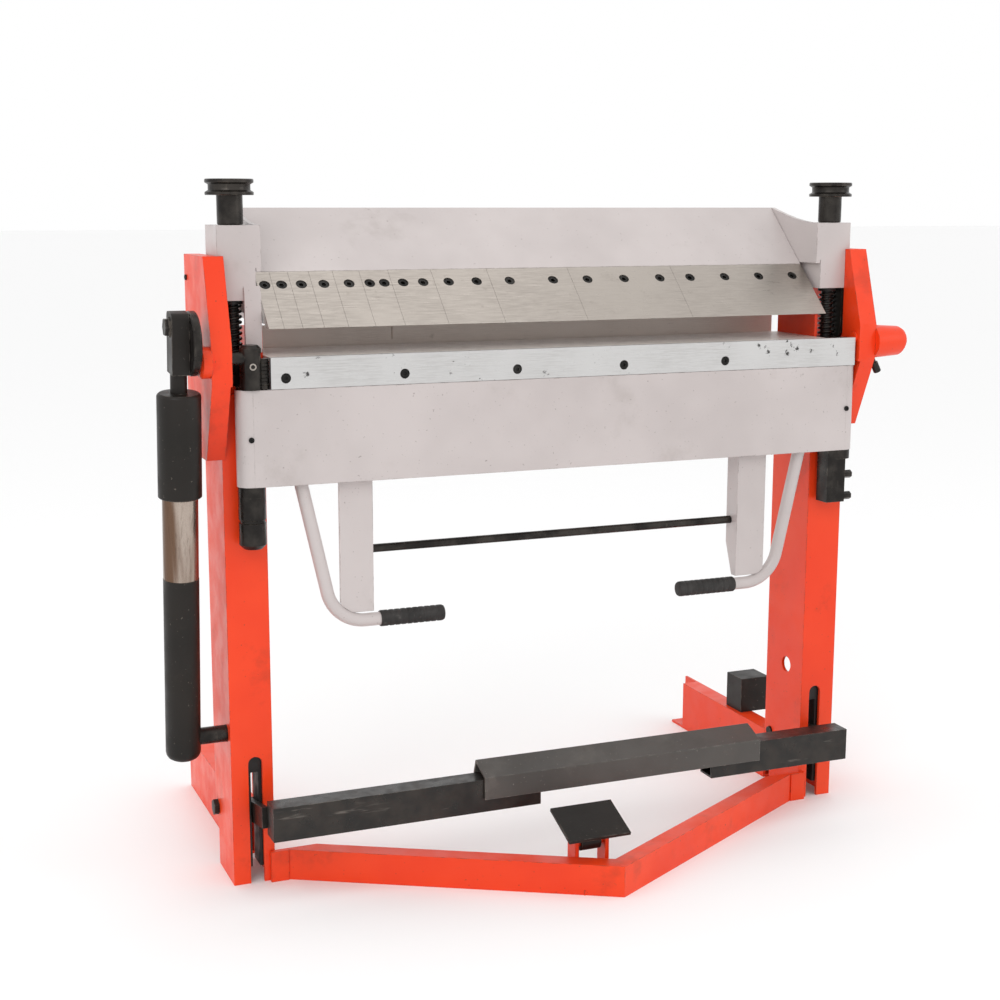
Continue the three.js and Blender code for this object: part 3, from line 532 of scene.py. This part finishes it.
def socket_screw(bm, origin, direction, radius, depth):
    """Adds a cap screw's head with a six-sided socket."""
    place = aim(direction, origin)
    sides = 30
    socket = radius * 0.5
    circle = [(math.cos(2 * math.pi * i / sides), math.sin(2 * math.pi * i / sides)) for i in range(sides)]

    def loop(scale, height, six_sided=False):
        made = []
        for i, (x, y) in enumerate(circle):
            turn = (2 * math.pi * i / sides) % (math.pi / 3) - math.pi / 6
            hexagon = math.cos(math.pi / 6) / math.cos(turn) if six_sided else 1.0
            made.append(bm.verts.new(place @ Vector((x * scale * hexagon, y * scale * hexagon, height))))
        return made

    edge = radius * 0.08
    loops = [
        loop(radius, 0), loop(radius, depth - edge), loop(radius - edge, depth), loop(socket, depth, True),
        loop(socket, depth * 0.35, True),
    ]
    for low, high in zip(loops, loops[1:]):
        for i in range(sides):
            j = (i + 1) % sides
            bm.faces.new((low[i], low[j], high[j], high[i]))
    bm.faces.new(loops[-1])
    bm.faces.new(list(reversed(loops[0])))


def screws(name, body, places, direction, radius, depth):
    """One piece that holds a row of like screws."""
    bm = bmesh.new()
    for place in places:
        socket_screw(bm, Vector(place), direction, radius, depth)
    own(from_bmesh(name, bm), body, "black_steel", SCREW_BLACK)


def finger_screws():
    """A sunk screw in every hole of the fingers."""
    spread = {50: [12.5], 75: [17.5], 100: [25], 150: [40], 200: [0, 70], 270: [35, 105]}
    fingers = sorted(n for n in NODES if n.startswith("finger_"))
    nose = corners(fingers[0])[0]
    seat_along, seat_depth = 94.9, 6.9
    seat = nose + ALONG * seat_along * MM - OUT * seat_depth * MM
    places = []
    for node in fingers:
        width = int(node.split("_")[-1][:-2])
        offsets = spread.get(width, [0])
        signed = {s * o for o in offsets for s in (-1, 1)}
        centre = middle(node)
        places += [(centre.x + o * MM, seat.y, seat.z) for o in sorted(signed)]
    screws("finger_screws", "beam", places, OUT, 8.4 * MM, 5.5 * MM)


def bar_screws():
    """Sunk screws along the apron's bar, and the small ones in its end tubes."""
    first, pitch = -487.5, 196.6
    places = [at(first + pitch * i, -5, 848) for i in range(5)]
    screws("bar_screws", "apron", places, (0, -1, 0), 7.6 * MM, 3.6 * MM)
    small = [at(-545, -9.2, 753), at(552, -10.4, 753)]
    screws("apron_end_screws", "apron", small, (0, -1, 0), 4.5 * MM, 2.2 * MM)


def post_details():
    """The ringed pin in the left pivot post and the ribbed bush beside it."""
    ring = [(3.2, 0), (5.4, 0), (5.4, 1.6), (4.9, 2.0), (3.8, 2.0), (3.2, 1.4)]
    own(turned("left_post_ring", ring, (0, -1, 0), at(-541, -14.2, 868), 32), "apron", "ground_steel")
    bush = [(0, 0), (8, 0)]
    for i in range(8):
        z = 1 + i * 5.8
        bush += [(9, z), (9, z + 4.2), (8.2, z + 4.8), (8.2, z + 5.2)]
    bush += [(8, 47.6), (0, 47.6)]
    own(turned("left_bush", bush, (0, 0, 1), at(-521.5, 1, 832), 40), "apron", "black_steel")


def beam_guards():
    """A thin black plate under each end block, beside the lift spring."""
    outline = [(44, 966.5), (110, 966.5), (110, 885), (102, 876), (52, 876), (44, 885)]
    inner_x, outer_x = 569, 574
    for name, side in (("left", -1), ("right", 1)):
        bm = bmesh.new()
        inner = [bm.verts.new(at(side * inner_x, y, z)) for y, z in outline]
        outer = [bm.verts.new(at(side * outer_x, y, z)) for y, z in outline]
        bm.faces.new(inner)
        bm.faces.new(list(reversed(outer)))
        for i in range(len(outline)):
            j = (i + 1) % len(outline)
            bm.faces.new((inner[i], outer[i], outer[j], inner[j]))
        own(from_bmesh(f"{name}_guard", bm), "beam", "black_paint")


def stand_bolts():
    """The screws on the stand's outside."""
    screws("bracket_screw_left", "frame", [at(-606, 150, 1000)], (-1, 0, 0), 4.5 * MM, 3 * MM)
    clamp = [(0, 0), (4.5, 0), (4.5, 14), (7, 14), (7, 32), (6.2, 33), (0, 33)]
    screw = turned("boss_set_screw", clamp, (0.46, 0, -0.89), at(611, 4, 845), 32)
    own(screw, "frame", "black_steel")


def stage_floor():
    """A wide pale floor at the machine's feet."""
    mesh = bpy.data.meshes.new("floor")
    size = 60
    around = [(-size, -size, 0), (size, -size, 0), (size, size, 0), (-size, size, 0)]
    mesh.from_pydata(around, [], [(0, 1, 2, 3)])
    floor = as_object("floor", mesh)
    r = Recipe("pale_floor")
    mesh.materials.append(r.done((0.95, 0.95, 0.95, 1), roughness=0.8))


def area_light(name, place, target, size, power):
    """A rectangular lamp that faces a target."""
    light = bpy.data.lights.new(name, "AREA")
    light.shape = "RECTANGLE"
    light.size, light.size_y = size
    light.energy = power
    lamp = bpy.data.objects.new(name, light)
    lamp.location = place
    lamp.rotation_euler = (Vector(target) - Vector(place)).to_track_quat("-Z", "Y").to_euler()
    bpy.context.scene.collection.objects.link(lamp)


def studio():
    """Even white light from all round, and a camera at the operator's left."""
    world = bpy.data.worlds.new("studio")
    bpy.context.scene.world = world
    world.use_nodes = True
    world.node_tree.nodes["Background"].inputs[0].default_value = (1, 1, 1, 1)
    world.node_tree.nodes["Background"].inputs[1].default_value = 1.0
    middle_of_machine = (0, 0, 0.7)
    area_light("key", (-2.6, -3.2, 3.4), middle_of_machine, size=(2.4, 2.4), power=40)
    area_light("fill", (3.2, -2.4, 2.0), middle_of_machine, size=(2.0, 2.0), power=10)
    area_light("top", (0, 0.4, 4.2), (0, 0, 0.5), size=(3.0, 2.0), power=10)
    camera_data = bpy.data.cameras.new("camera")
    camera_data.sensor_width = 36
    camera_data.lens = 59.23
    camera = bpy.data.objects.new("camera", camera_data)
    camera.location = (-1.1469, -2.6602, 1.1228)
    camera.rotation_euler = [math.radians(angle) for angle in (79.673, -0.1, -22.342)]
    bpy.context.scene.collection.objects.link(camera)
    bpy.context.scene.camera = camera
    bpy.context.scene.view_settings.view_transform = "Standard"


dress_cad_nodes()
for side in ("left", "right"):
    knob(side)
    lift_spring(side)
handle("left", -1)
handle("right", 1)
balance_cylinder()
crank()
beam_guards()
finger_screws()
bar_screws()
post_details()
stand_bolts()
stage_floor()
studio()
